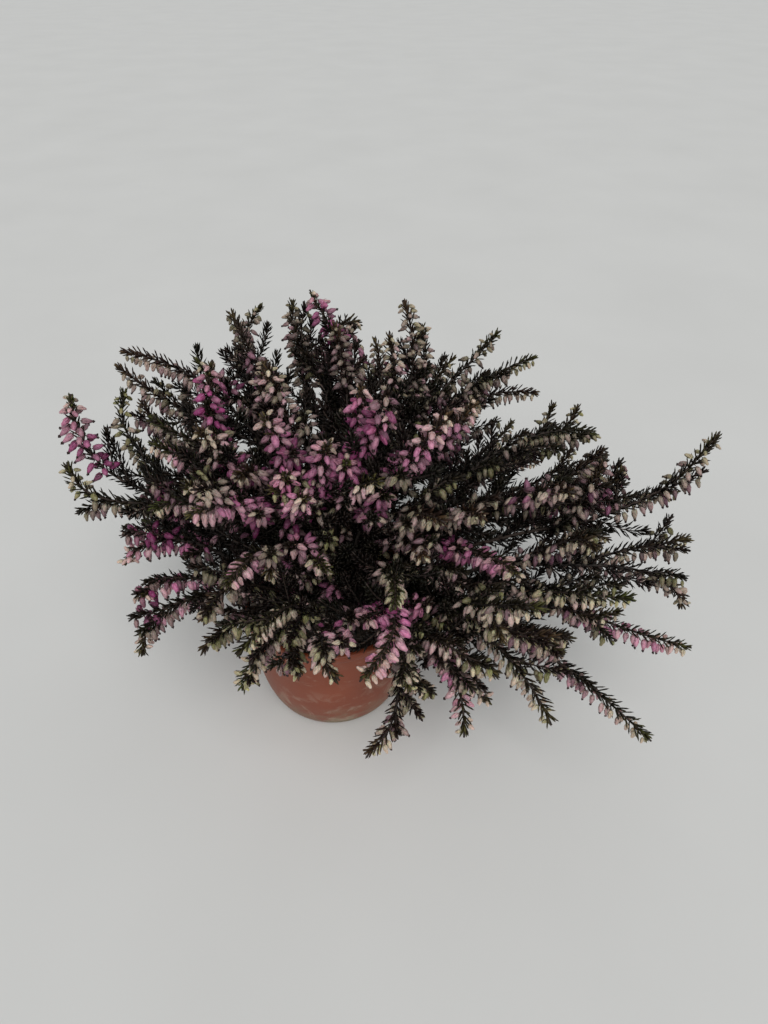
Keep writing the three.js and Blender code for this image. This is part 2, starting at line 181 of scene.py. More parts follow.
pot_shape = turned(
    foot_turn
    + [(pot_radius(height), height) for height in wall_heights]
    + lip_ledge
    + lip_turn
    + [(RIM_RADIUS - WALL - 0.6, POT_HEIGHT), (RIM_RADIUS - WALL - 1.3, POT_HEIGHT - 0.7)]
    + [(pot_radius(height) - WALL, height) for height in [lip_foot, *reversed(wall_heights[3:])]]
    + [(FOOT_RADIUS, WALL + 1.5), (HOLLOW_RADIUS, pot_floor), (0, pot_floor)],
    POT_STEPS,
)

pot_plastic = new_material("moulded polypropylene, terracotta")
# Moulded polypropylene is satin and even. Dried lime leaves pale ragged clouds low down and thin smears all
# over it, and splashed soil has stained a ring round the foot.
place = add(pot_plastic, "TexCoord").outputs["Object"]
height = add(pot_plastic, "SeparateXYZ", {"Vector": place}).outputs["Z"]
tone = add(pot_plastic, "TexNoise", {"Vector": place, "Scale": per_mm(26), "Detail": 3}).outputs["Fac"]
cloud = add(
    pot_plastic,
    "TexNoise",
    {"Vector": place, "Scale": per_mm(11), "Detail": 7, "Roughness": 0.62, "Distortion": 0.6},
).outputs["Fac"]
squat = add(pot_plastic, "Mapping", {"Vector": place, "Scale": (1, 1, 1.9)}).outputs["Vector"]
smear = add(
    pot_plastic,
    "TexNoise",
    {"Vector": squat, "Scale": per_mm(15), "Detail": 6, "Roughness": 0.66, "Distortion": 0.8},
).outputs["Fac"]
grain = add(pot_plastic, "TexNoise", {"Vector": place, "Scale": per_mm(0.7), "Detail": 2}).outputs["Fac"]
low = add(
    pot_plastic,
    "MapRange",
    {
        "Value": height,
        "From Min": LIME_TOP * MILLIMETRE,
        "From Max": STAIN_FULL * MILLIMETRE,
        "To Min": 0.06,
        "To Max": 1,
    },
).outputs["Result"]
foot_ring = add(
    pot_plastic,
    "MapRange",
    {"Value": height, "From Min": STAIN_TOP * MILLIMETRE, "From Max": STAIN_FULL * MILLIMETRE},
).outputs["Result"]
ragged = add(
    pot_plastic, "MapRange", {"Value": cloud, "From Min": 0.53, "From Max": 0.62, "To Max": 0.85}
).outputs["Result"]
smeared = add(
    pot_plastic, "MapRange", {"Value": smear, "From Min": 0.58, "From Max": 0.72, "To Max": 0.5}
).outputs["Result"]
lime = add(pot_plastic, "Math", {0: ragged, 1: low}, operation="MULTIPLY").outputs[0]
film = add(pot_plastic, "Math", {0: lime, 1: smeared}, operation="MAXIMUM").outputs[0]
terracotta = add(
    pot_plastic, "Mix", {0: tone, 6: linear("#733620"), 7: linear("#8a4429")}, data_type="RGBA"
).outputs[2]
limed = add(
    pot_plastic, "Mix", {0: film, 6: terracotta, 7: linear("#ab9483")}, data_type="RGBA"
).outputs[2]
stain = add(
    pot_plastic, "MapRange", {"Value": smear, "From Min": 0.4, "From Max": 0.6, "To Max": 0.9}
).outputs["Result"]
dirty = add(pot_plastic, "Math", {0: foot_ring, 1: stain}, operation="MULTIPLY").outputs[0]
footed = add(
    pot_plastic, "Mix", {0: dirty, 6: limed, 7: linear("#7d725a")}, data_type="RGBA"
).outputs[2]
rough = add(pot_plastic, "MapRange", {"Value": film, "To Min": 0.46, "To Max": 0.85}).outputs["Result"]
relief = add(pot_plastic, "Math", {0: film, 1: grain}, operation="ADD").outputs[0]
bump = add(pot_plastic, "Bump", {"Height": relief, "Strength": 0.25, "Distance": 0.00015}).outputs["Normal"]
shell = add(
    pot_plastic,
    "BsdfPrincipled",
    {"Base Color": footed, "Roughness": rough, "Normal": bump, "IOR": 1.49, "Specular IOR Level": 0.35},
).outputs[0]
add(pot_plastic, "OutputMaterial", {"Surface": shell})

pot = keep("flower_pot", pot_shape, "pot", [pot_plastic])

# The drain holes go through the foot, on a circle about its middle
drills = bmesh.new()
for k in range(DRAIN_HOLES):
    turn = Matrix.Rotation(k * math.tau / DRAIN_HOLES, 4, "Z")
    bmesh.ops.create_cone(
        drills,
        cap_ends=True,
        segments=DRILL_SIDES,
        radius1=DRAIN_RADIUS * MILLIMETRE,
        radius2=DRAIN_RADIUS * MILLIMETRE,
        depth=DRILL_LENGTH * MILLIMETRE,
        matrix=turn @ Matrix.Translation((DRAIN_CIRCLE * MILLIMETRE, 0, 0)),
    )
drill_mesh = bpy.data.meshes.new("drills")
drills.to_mesh(drill_mesh)
drills.free()
drill = bpy.data.objects.new("drills", drill_mesh)
bpy.context.scene.collection.objects.link(drill)
cut = pot.modifiers.new("drain holes", "BOOLEAN")
cut.object = drill
cut.operation = "DIFFERENCE"
cut.solver = "EXACT"
drilled = bpy.data.meshes.new_from_object(pot.evaluated_get(bpy.context.evaluated_depsgraph_get()))
pot.modifiers.clear()
pot.data = drilled
bpy.data.objects.remove(drill)

# ---------------------------------------------------------------------------------------------------------
# The compost. Dark fibrous peat fills the pot to just below the lip. It was filled in moist and has settled
# to a low crown, with loose crumbs on top.
# ---------------------------------------------------------------------------------------------------------

SOIL_TOP = 68
SOIL_DROP = 3
SOIL_CROWN = 3
SOIL_LUMP = 0.8
LUMP_WAVES = (4.1, 3.3, 9)
SOIL_STEPS = 72
SOIL_RINGS = 24
SOIL_RELIEF = 1.1
SOIL_GRAIN = 3.5
FIT_GAP = 0.35
CRUMBS = 320
CRUMB_SIZES = (0.5, 1.7)
CRUMB_REACH = 44
SOIL_SEED = 11
chance = random.Random(SOIL_SEED)


def soil_height(x, y):
    """The compost's top: a low crown with small lumps"""
    crown = SOIL_CROWN * (1 - (math.hypot(x, y) / RIM_RADIUS) ** 2)
    across, along, skew = LUMP_WAVES
    return SOIL_TOP + crown + SOIL_LUMP * (math.sin(x / across) + math.cos(y / along + x / skew))


soil_edge = pot_radius(SOIL_TOP - SOIL_DROP) - WALL - FIT_GAP
peat_shape = turned(
    [(0, pot_floor + FIT_GAP), (HOLLOW_RADIUS - 1, pot_floor + FIT_GAP)]
    + [(pot_radius(height) - WALL - FIT_GAP, height) for height in (5, 12, 28, 48, SOIL_TOP - SOIL_DROP)]
    + [(soil_edge * k / SOIL_RINGS, SOIL_TOP) for k in range(SOIL_RINGS, -1, -1)],
    SOIL_STEPS,
)
for vert in peat_shape.verts:
    if vert.co.z > SOIL_TOP - 1:
        rough_top = SOIL_RELIEF * noise.fractal(vert.co / SOIL_GRAIN, 0.9, 2.1, 4)
        vert.co.z = soil_height(vert.co.x, vert.co.y) + rough_top
for k in range(CRUMBS):
    angle, reach = chance.uniform(0, math.tau), CRUMB_REACH * math.sqrt(chance.random())
    x, y = reach * math.cos(angle), reach * math.sin(angle)
    size = chance.uniform(*CRUMB_SIZES)
    turn = Matrix.Rotation(chance.uniform(0, math.tau), 4, Vector((chance.random(), chance.random(), 1)))
    squash = Matrix.Diagonal((1, chance.uniform(0.5, 1), chance.uniform(0.4, 0.9), 1))
    bmesh.ops.create_icosphere(
        peat_shape,
        subdivisions=1,
        radius=size,
        matrix=Matrix.Translation((x, y, soil_height(x, y) + 0.3 * size)) @ turn @ squash,
    )

peat = new_material("moist peat compost")
# Moist peat is near black, with paler dry fibres and crumbs, and has no shine
place = add(peat, "TexCoord").outputs["Object"]
crumb = add(
    peat, "TexNoise", {"Vector": place, "Scale": per_mm(2.2), "Detail": 8, "Roughness": 0.7}
).outputs["Fac"]
patch = add(peat, "TexNoise", {"Vector": place, "Scale": per_mm(14), "Detail": 2}).outputs["Fac"]
dry = add(peat, "MapRange", {"Value": crumb, "From Min": 0.42, "From Max": 0.7}).outputs["Result"]
dark = add(peat, "Mix", {0: patch, 6: linear("#120d09"), 7: linear("#2a1f17")}, data_type="RGBA").outputs[2]
tinged = add(peat, "Mix", {0: dry, 6: dark, 7: linear("#4a3a2b")}, data_type="RGBA").outputs[2]
bump = add(peat, "Bump", {"Height": crumb, "Strength": 0.9, "Distance": 0.0012}).outputs["Normal"]
rough = add(peat, "MapRange", {"Value": crumb, "To Min": 0.75, "To Max": 1}).outputs["Result"]
shell = add(peat, "BsdfPrincipled", {"Base Color": tinged, "Roughness": rough, "Normal": bump}).outputs[0]
add(peat, "OutputMaterial", {"Surface": shell})

keep("peat_compost", peat_shape, "compost", [peat])

# ---------------------------------------------------------------------------------------------------------
# The stems' lines. Thin woody stems come up out of the compost, fan out and arch over under the weight of
# their flowers, and each carries one to three side shoots. They grew, so no two are alike.
# ---------------------------------------------------------------------------------------------------------

ROOT_DEPTH = 12
ROOT_CENTRE = 4
ROOT_SPREAD = 19
ROOT_LIMIT = 29
ROOT_SPACING = 7.2
ROOT_PUSHES = 60
ROOT_LEAN = 20
ROOT_CLIMB = 58
ROOT_SHIFT = 0.6
ROOT_HANDLE = 0.42
SIDE_HANDLE = 0.35
TIP_HANDLE = 0.38
BARE_STEP = 32
TIP_WHORL = 4
WHORL_SPACING = 13
WHORL_MARGIN = 0.6
STEM_WHORLS = 4
LINE_POINTS = 201
HALF_STEP = 0.6
CARRY_STEP = 0.04
SWAY = 3.2
SWAY_WAVE = 38
SWAY_START = 10
SWAY_FULL = 40
SWAY_SEED = 3
UP = Vector((0, 0, 1))

# Each stem is a list of shoots. The first is the stem itself: azimuth, reach, height and rise of its tip,
# its bloom, and how far its tip swings round. The others branch from it at a share of its length, which
# stands before the same six values. Azimuth is in degrees round the pot, 0 at the front and 90 at +X. Reach
# is the tip's distance from the pot's axis. Rise is how steeply the tip points up, in degrees. Bloom runs
# from 0, greenish cream, to 1, magenta.
STEMS = [
    # left side
    [
        (-90, 114, 203, 104, 0.82, 60),
        (0.42, -85, 120, 172, 53, 0.15, -67),
        (0.36, -115, 118, 175, 126, 0.1, 66),
    ],
    [
        (-113, 112, 201, 14, 0.4, 33),
        (0.45, -111, 114, 195, 38, 0.35, -2),
        (0.38, -107, 93, 171, -22, 0.3, -41),
    ],
    [(-88, 81, 179, 32, 0.6, -7), (0.4, -70, 84, 156, 4, 0.55, 34), (0.45, -97, 47, 217, 118, 1, 75)],
    [(-80, 105, 112, -64, 0.7, -9), (0.5, -67, 99, 107, 2, 0.75, 50), (0.45, -53, 106, 96, -42, 0.55, 61)],
    # front, left of the middle
    [(-51, 70, 186, 52, 0.55, 13), (0.5, -39, 79, 182, -12, 0.75, -27)],
    [(-30, 79, 149, -7, 0.7, 0), (0.5, -43, 84, 96, -45, 0.3, -1), (0.45, -37, 85, 127, -24, 0.35, 31)],
    [(-23, 88, 122, -21, 0.2, -24), (0.5, -26, 84, 86, -62, 0.15, 0), (0.45, -4, 88, 113, -4, 0.3, 29)],
    [(6, 60, 149, 8, 0.45, 20), (0.55, -20, 61, 140, -9, 0.5, 29), (0.5, -27, 46, 179, 12, 0.2, -41)],
    # front
    [(-15, 44, 189, 48, 0.9, 36), (0.45, 0, 52, 183, 25, 0.7, 40), (0.4, 10, 39, 201, 69, 0.8, 22)],
    [
        (12, 105, 131, -34, 0.73, -70),
        (0.55, 8, 106, 135, -22, 0.4, 45),
        (0.5, 25, 96, 100, -43, 0.35, -23),
        (0.3, 34, 94, 84, -47, 0.4, 52),
    ],
    [(19, 45, 192, 45, 0.95, -17), (0.5, 45, 46, 216, 60, 0.9, 50)],
    [(48, 77, 170, 8, 0.4, -12), (0.6, 38, 75, 155, 1, 0.35, -41), (0.5, 24, 84, 147, 4, 0.3, -33)],
    [(34, 53, 185, 29, 0.45, 21), (0.5, 57, 59, 201, 58, 0.7, 35), (0.55, 56, 66, 216, 57, 0.65, 44)],
    [(54, 108, 152, 12, 0.75, -27), (0.5, 55, 88, 171, 19, 0.4, -38), (0.5, 46, 113, 125, -29, 0.35, -31)],
    [
        (33, 120, 87, -33, 0.66, -41),
        (0.3, 52, 106, 60, -60, 0.5, 41),
        (0.6, 44, 116, 109, -30, 0.4, 45),
        (0.6, 12, 102, 72, -15, 0.25, -76),
    ],
    # right side
    [(47, 142, 91, -32, 0.3, -22), (0.4, 50, 126, 152, 2, 0.25, 35), (0.5, 54, 133, 126, -2, 0.2, 26)],
    [(59, 180, 71, -12, 0.5, -18), (0.5, 57, 134, 108, -9, 0.4, 7), (0.45, 66, 134, 98, -27, 0.35, 46)],
    [(78, 195, 73, 5, 0.72, -10), (0.5, 73, 152, 108, 9, 0.4, 39), (0.45, 66, 154, 136, 4, 0.25, 23)],
    [(84, 191, 82, -70, 0.4, 25), (0.5, 88, 191, 118, 1, 0.25, 7), (0.45, 69, 136, 148, -9, 0.35, -50)],
    [(94, 186, 133, -18, 0.2, 19), (0.5, 93, 152, 156, 51, 0.6, 45), (0.45, 72, 120, 174, 18, 0.35, -40)],
    [(92, 192, 175, 56, 0.3, 27), (0.45, 101, 155, 148, 26, 0.45, -13), (0.5, 89, 138, 164, 16, 0.35, 49)],
    [
        (109, 159, 143, -44, 0.2, 16),
        (0.45, 111, 145, 165, 57, 0.15, 43),
        (0.5, 119, 145, 155, 93, 0.2, -75),
    ],
    # back, high
    [
        (126, 152, 148, -13, 0.4, -44),
        (0.5, 124, 139, 180, 15, 0.3, -35),
        (0.45, 132, 118, 164, 37, 0.3, 29),
    ],
    [(132, 128, 192, 48, 0.3, -37), (0.5, 141, 114, 175, 45, 0.35, -33), (0.4, 82, 72, 206, 45, 0.65, 44)],
    [(147, 94, 199, 106, 0.35, -80), (0.5, 154, 93, 210, 50, 0.3, 74), (0.4, 151, 69, 203, 104, 0.4, -37)],
    [
        (171, 106, 186, -39, 0.45, -28),
        (0.5, 168, 122, 170, 31, 0.4, 42),
        (0.4, 158, 120, 142, 10, 0.6, -39),
    ],
    [
        (-174, 78, 220, 54, 0.85, 54),
        (0.5, -167, 96, 205, 72, 0.4, -15),
        (0.45, -168, 103, 188, 74, 0.3, -23),
    ],
    [(-157, 101, 203, 127, 0.4, 73), (0.4, -142, 46, 202, 38, 0.5, -52)],
    [(-148, 109, 199, 3, 0.35, 0), (0.45, -125, 82, 196, 54, 0.45, 32)],
    # back, low
    [
        (-132, 158, 112, 9, 0.6, -9),
        (0.5, -142, 156, 140, 23, 0.35, -52),
        (0.45, -124, 136, 150, 6, 0.45, -21),
    ],
    [
        (-112, 126, 84, -21, 0.4, -25),
        (0.5, -102, 118, 116, -12, 0.7, 21),
        (0.45, -120, 134, 70, -29, 0.3, -19),
    ],
    [
        (-155, 160, 96, -11, 0.45, 11),
        (0.5, -164, 150, 130, 0, 0.8, -46),
        (0.45, -148, 150, 70, -33, 0.35, -20),
    ],
    [
        (176, 156, 107, -5, 0.35, 29),
        (0.5, -173, 150, 136, 14, 0.5, 30),
        (0.45, 173, 161, 82, -1, 0.7, -39),
    ],
    [
        (154, 165, 94, -2, 0.55, -9),
        (0.5, 160, 150, 132, 24, 0.35, -51),
        (0.45, 148, 150, 68, -25, 0.4, -21),
    ],
    [
        (136, 168, 108, 11, 0.3, 8),
        (0.5, 142, 158, 136, 27, 0.45, -45),
        (0.45, 128, 172, 84, -20, 0.6, -24),
    ],
    [
        (112, 172, 92, -16, 0.4, -11),
        (0.5, 117, 164, 120, 12, 0.25, 34),
        (0.45, 104, 174, 72, -31, 0.35, -24),
    ],
    # crown
    [(-65, 56, 200, 58, 0.5, 11), (0.5, -58, 63, 182, 39, 0.45, -38)],
    [(60, 22, 216, 88, 0.95, 23), (0.45, -130, 34, 208, 86, 0.5, 36), (0.5, 175, 58, 212, 66, 0.4, 33)],
    [(-35, 38, 212, 71, 0.8, -24), (0.5, -38, 51, 186, 24, 0.55, 38)],
]


def around(azimuth, reach, height):
    """A place at an azimuth in degrees, at a distance from the pot's axis"""
    angle = math.radians(azimuth)
    return Vector((reach * math.sin(angle), -reach * math.cos(angle), height))


def heading(azimuth, rise):
    """The direction that faces an azimuth and rises by some degrees"""
    return around(azimuth, math.cos(math.radians(rise)), math.sin(math.radians(rise)))


def lean(stem):
    """How far a stem leans out, from 0 for an upright one to 1 for one that reaches out level"""
    reach, top = stem[1:3]
    return min(1, reach / (reach + top - SOIL_TOP))


class Line:
    """A shoot's line from root to tip, along which everything is placed by its distance from the root"""

    def __init__(self, root, root_way, root_handle, tip, tip_way):
        tip_handle = TIP_HANDLE * (tip - root).length
        bent = geometry.interpolate_bezier(
            root, root + root_way * root_handle, tip - tip_way * tip_handle, tip, LINE_POINTS
        )
        self.points = np.array(bent)
        self.measure()

    def measure(self):
        """Finds each point's distance from the root, and the side that is carried back from the tip"""
        steps = np.linalg.norm(np.diff(self.points, axis=0), axis=1)
        self.distances = np.concatenate([[0], np.cumsum(steps)])
        self.length = self.distances[-1]
        side = UP.cross(self.way(self.length))
        self.carried = []
        for back in np.arange(1, 0, -CARRY_STEP):
            along = self.way(back * self.length)
            side = (side - along * side.dot(along)).normalized()
            self.carried.append(side)

    def sway(self):
        """Bends the line gently to and fro, as grown wood is. Shoots that join stay joined."""
        for point in self.points:
            clear = min(1, max(0, (point[2] - SOIL_TOP - SWAY_START) / SWAY_FULL))
            point += SWAY * clear * np.array(noise.noise_vector(Vector(point) / SWAY_WAVE))
        self.measure()

    def at(self, distance):
        """The point at a distance"""
        return Vector([np.interp(distance, self.distances, self.points[:, k]) for k in range(3)])

    def way(self, distance):
        """The direction at a distance"""
        return (self.at(distance + HALF_STEP) - self.at(distance - HALF_STEP)).normalized()

    def sides(self, distance):
        """Along the shoot, across it and to its lower side, with no twist between its tip and here"""
        along = self.way(distance)
        back = math.ceil((1 - distance / self.length) / CARRY_STEP) - 1
        side = self.carried[min(max(back, 0), len(self.carried) - 1)]
        side = (side - along * side.dot(along)).normalized()
        return along, side, side.cross(along)


def joints_of(line):
    """The distances at which side shoots may leave a stem"""
    count = min(STEM_WHORLS, math.floor((line.length - TIP_WHORL) / WHORL_SPACING - WHORL_MARGIN))
    bare = line.length - TIP_WHORL - WHORL_SPACING * (count + 0.5)
    steps = max(1, math.floor(bare / BARE_STEP + 0.5))
    return [bare * k / steps for k in range(1, steps)] or [bare + 0.5 * WHORL_SPACING]


# Where the stems stand: each under its own tip, and all pushed apart until they have room
roots = []
for stem in STEMS:
    main = stem[0]
    azimuth, swing = main[0], main[5]
    roots.append(around(azimuth - ROOT_SHIFT * swing, ROOT_CENTRE + ROOT_SPREAD * lean(main), 0))
for _ in range(ROOT_PUSHES):
    for k, root in enumerate(roots):
        for other in roots[k + 1 :]:
            apart = other - root
            lack = max(0, ROOT_SPACING - apart.length)
            root -= apart.normalized() * lack / 2
            other += apart.normalized() * lack / 2
    for root in roots:
        if root.length > ROOT_LIMIT:
            root.length = ROOT_LIMIT

# The lines of each stem and its side shoots, with their blooms
plants = []
for stem, root in zip(STEMS, roots):
    azimuth, reach, top, rise, bloom, swing = stem[0]
    foot = Vector((root.x, root.y, SOIL_TOP - ROOT_DEPTH))
    end = around(azimuth, reach, top)
    main = Line(
        foot,
        heading(math.degrees(math.atan2(root.x, -root.y)), 90 - ROOT_LEAN * lean(stem[0])),
        max(ROOT_CLIMB, ROOT_HANDLE * (foot - end).length),
        end,
        heading(azimuth + swing, rise),
    )
    shoots = [(main, bloom)]
    joints = joints_of(main)
    for share, azimuth, reach, top, rise, bloom, swing in stem[1:]:
        joint = min(joints, key=lambda distance: abs(distance - share * main.length))
        if len(joints) > 1:
            joints.remove(joint)
        start, tip = main.at(joint), around(azimuth, reach, top)
        way = ((tip - start).normalized() + main.way(joint)).normalized()
        handle = SIDE_HANDLE * (tip - start).length
        shoots.append((Line(start, way, handle, tip, heading(azimuth + swing, rise)), bloom))
    plants.append(shoots)

# The sway is the same in every run, because its noise is seeded here
noise.seed_set(SWAY_SEED)
for shoots in plants:
    for line, bloom in shoots:
        line.sway()

# ---------------------------------------------------------------------------------------------------------
# The parts that a shoot is made of: its rind, needles and flowers. Each is made once, as a small mesh, and
# grows on the shoots in many copies of different sizes, turns and tints.
# ---------------------------------------------------------------------------------------------------------

BARK, LEAF, PETAL, ANTHER = range(4)
THIN_SIDES = 3
NEEDLE_LENGTH = 6.9
NEEDLE_WIDTH = 1.1
NEEDLE_BOW = 0.3
FLOWER_LENGTH = 5.25
FLOWER_WIDTH = 3
URN_SIDES = 5
BUD_SIDES = 4
SEPALS = 4
SEPAL_LENGTH = 3.4
SEPAL_WIDTH = 1.35
SEPAL_THICKNESS = 0.5
SEPAL_WIDEST = 0.42
SEPAL_LEAN = 0.24
SEPAL_SEAT = Vector((0.72, 0, -0.1))
STALK_ROOT = Vector((-0.9, 0, -1.4))
STALK_RADIUS = 0.3
STALK_OVERLAP = 0.6
ANTHER_RADIUS = 0.85
ANTHER_REACH = 1.4
ANTHER_DEPTH = 1.4
WHITE = (1, 1, 1)


def part_mesh(name, shapes):
    """Joins shapes, each with a material and a tint at its two ends, into one small mesh"""
    whole = bmesh.new()
    hues = []
    for shape, material, root_hue, tip_hue in shapes:
        for face in shape.faces:
            face.material_index = material
            face.smooth = True
        heights = np.array([vert.co.z for vert in shape.verts])
        share = (heights - heights.min()) / np.ptp(heights)
        hues.append(np.outer(1 - share, root_hue) + np.outer(share, tip_hue))
        bare = bpy.data.meshes.new(name)
        shape.to_mesh(bare)
        shape.free()
        whole.from_mesh(bare)
        bpy.data.meshes.remove(bare)
    mesh = bpy.data.meshes.new(name)
    whole.to_mesh(mesh)
    whole.free()
    mesh.attributes.new("tint", "FLOAT_COLOR", "POINT")
    places = np.empty(3 * len(mesh.vertices))
    mesh.vertices.foreach_get("co", places)
    return mesh, places.reshape(-1, 3), np.concatenate(hues)


box_low, box_high = (np.array(corner) / MILLIMETRE for corner in cad_box)


def grow(spray, part, places, tint):
    """Sets a copy of a part on the spray, its points at these places but within the plant's full size"""
    mesh, _, hues = part
    mesh.vertices.foreach_set("co", places.clip(box_low + FIT_GAP, box_high - FIT_GAP).ravel())
    coloured = np.ones((len(hues), 4))
    coloured[:, :3] = hues * tint[:3]
    mesh.attributes["tint"].data.foreach_set("color", coloured.ravel())
    spray.from_mesh(mesh)


def set_at(part, place, out, axis, size):
    """A part's points when it stands at a place, with its axis one way and its face another"""
    side = axis.cross(out).normalized()
    face = side.cross(axis)
    return part[1] @ np.array([face * size[0], side * size[1], axis * size[2]]) + np.array(place)


def bow(shape, amount, length):
    """Bends a straight shape sideways, more and more towards its end"""
    for vert in shape.verts:
        vert.co.x += amount * (vert.co.z / length) ** 2


def needle_part(name, profile, thickness, width, root_tint):
    """A narrow leaf turned from its profile, pressed flat and bowed a little"""
    shape = turned(profile, THIN_SIDES)
    flat = (thickness * NEEDLE_WIDTH, width * NEEDLE_WIDTH, NEEDLE_LENGTH)
    bmesh.ops.scale(shape, vec=flat, verts=shape.verts)
    bow(shape, NEEDLE_BOW, NEEDLE_LENGTH)
    return part_mesh(name, [(shape, LEAF, root_tint, (1.15, 1.1, 1.05))])


# A needle keeps its width almost to its tip. The plain one, for old wood inside the bush, has fewer faces.
needle = needle_part("needle", [(0, 0), (0.9, 0.16), (1, 0.78), (0, 1)], 0.34, 0.56, (0.75, 0.7, 0.65))
plain_needle = needle_part("plain_needle", [(0, 0), (1, 0.6), (0, 1)], 0.4, 0.62, (0.7, 0.65, 0.6))

# A flower: an urn that narrows to its mouth, four narrow sepals laid on it, and the dark anthers that stand
# out of an open one. Its top is at the origin, and a short stalk comes to it from the shoot at an angle.
urn_profile = [(0, 0), (0.92, 0.25), (0.92, 0.62), (0.4, 1), (0, 0.88)]
bud_profile = [(0, 0), (0.78, 0.13), (1, 0.42), (0.6, 0.86), (0, 1)]


def bell(profile, sides, root_tint, tip_tint):
    """The petals of a flower, which are joined all round"""
    shape = turned(profile, sides)
    bmesh.ops.scale(shape, vec=(FLOWER_WIDTH / 2, FLOWER_WIDTH / 2, FLOWER_LENGTH), verts=shape.verts)
    return shape, PETAL, root_tint, tip_tint


def sepals():
    """The sepals, one after another round the flower's top"""
    for k in range(SEPALS):
        shape = turned([(0, 0), (1, SEPAL_WIDEST * SEPAL_LENGTH), (0, SEPAL_LENGTH)], THIN_SIDES)
        bmesh.ops.scale(shape, vec=(SEPAL_THICKNESS / 2, SEPAL_WIDTH / 2, 1), verts=shape.verts)
        lean_out = Matrix.Rotation(SEPAL_LEAN, 3, "Y")
        bmesh.ops.rotate(shape, cent=(0, 0, 0), matrix=lean_out, verts=shape.verts)
        bmesh.ops.translate(shape, vec=SEPAL_SEAT, verts=shape.verts)
        turn = Matrix.Rotation((k + 0.5) * math.tau / SEPALS, 3, "Z")
        bmesh.ops.rotate(shape, cent=(0, 0, 0), matrix=turn, verts=shape.verts)
        yield shape, PETAL, (0.85, 0.95, 0.78), (1.2, 1.2, 1.18)


def stalk():
    """The stalk, from the shoot's side to just inside the flower's top"""
    shape = turned([(0, 0), (STALK_RADIUS, 0.2), (0, 1)], THIN_SIDES)
    bmesh.ops.scale(shape, vec=(1, 1, STALK_ROOT.length + STALK_OVERLAP), verts=shape.verts)
    turn = UP.rotation_difference(-STALK_ROOT).to_matrix()
    bmesh.ops.rotate(shape, cent=(0, 0, 0), matrix=turn, verts=shape.verts)
    bmesh.ops.translate(shape, vec=STALK_ROOT, verts=shape.verts)
    return shape, PETAL, (0.35, 0.4, 0.2), (0.6, 0.55, 0.45)


def anthers():
    """The bunch of anthers, from inside the urn to below its mouth"""
    shape = turned([(0, 0), (1, 0.72), (0, 1)], THIN_SIDES)
    drawn = (ANTHER_RADIUS, ANTHER_RADIUS, ANTHER_REACH + ANTHER_DEPTH)
    bmesh.ops.scale(shape, vec=drawn, verts=shape.verts)
    bmesh.ops.translate(shape, vec=(0, 0, FLOWER_LENGTH - ANTHER_DEPTH), verts=shape.verts)
    return shape, ANTHER, WHITE, WHITE


open_urn = bell(urn_profile, URN_SIDES, (0.82, 0.76, 0.76), (1.06, 1, 1.02))
flower = part_mesh("flower", [open_urn, *sepals(), stalk(), anthers()])
closed_bud = bell(bud_profile, BUD_SIDES, (0.82, 0.84, 0.66), (1.08, 1.06, 1.02))
bud = part_mesh("bud", [closed_bud, *sepals(), stalk()])


def rind(name, rings, sides):
    """A closed rod of radius and length 1, which can be laid along a line as its bark"""
    profile = [(0, 0)] + [(1, k / rings) for k in range(rings + 1)] + [(0, 1)]
    return part_mesh(name, [(turned(profile, sides), BARK, WHITE, WHITE)])


rod = rind("rod", rings=18, sides=6)
switch = rind("switch", rings=4, sides=4)

# ---------------------------------------------------------------------------------------------------------
# The finishes of the plant. Thin brown bark, waxy dark needles, papery petals that let light through, and
# dry dark anthers. The parts' tints, with painted light and shade in them, come from the copies, and the
# fine variation from these patterns.
# ---------------------------------------------------------------------------------------------------------


def tinted(material, scale, dark, light):
    """The tint of the copy, varied by a fine pattern between two factors"""
    place = add(material, "TexCoord").outputs["Object"]
    tint = add(material, "Attribute", attribute_name="tint").outputs["Color"]
    pattern = add(
        material, "TexNoise", {"Vector": place, "Scale": per_mm(scale), "Detail": 3}
    ).outputs["Fac"]
    factor = add(
        material,
        "MapRange",
        {"Value": pattern, "From Min": 0.3, "From Max": 0.7, "To Min": dark, "To Max": light},
    ).outputs["Result"]
    varied = add(material, "VectorMath", {0: tint, "Scale": factor}, operation="SCALE").outputs[0]
    return varied, pattern


bark = new_material("thin brown bark")
# Young bark is thin, brown and matte, and is ringed by the scars of fallen leaves about a millimetre apart
varied, pattern = tinted(bark, scale=1.4, dark=0.6, light=1.3)
bump = add(bark, "Bump", {"Height": pattern, "Strength": 0.6, "Distance": 0.0003}).outputs["Normal"]
rough = add(bark, "MapRange", {"Value": pattern, "To Min": 0.65, "To Max": 0.9}).outputs["Result"]
shell = add(bark, "BsdfPrincipled", {"Base Color": varied, "Roughness": rough, "Normal": bump}).outputs[0]
add(bark, "OutputMaterial", {"Surface": shell})

leaf = new_material("waxy heath needle")
# A needle is dark and waxy, so it takes a small bright glint along its back
varied, pattern = tinted(leaf, scale=2.5, dark=0.65, light=1.4)
bump = add(leaf, "Bump", {"Height": pattern, "Strength": 0.3, "Distance": 0.0002}).outputs["Normal"]
rough = add(leaf, "MapRange", {"Value": pattern, "To Min": 0.34, "To Max": 0.6}).outputs["Result"]
shell = add(
    leaf,
    "BsdfPrincipled",
    {"Base Color": varied, "Roughness": rough, "Normal": bump, "IOR": 1.45, "Specular IOR Level": 0.22},
).outputs[0]
add(leaf, "OutputMaterial", {"Surface": shell})

petal = new_material("papery petal")
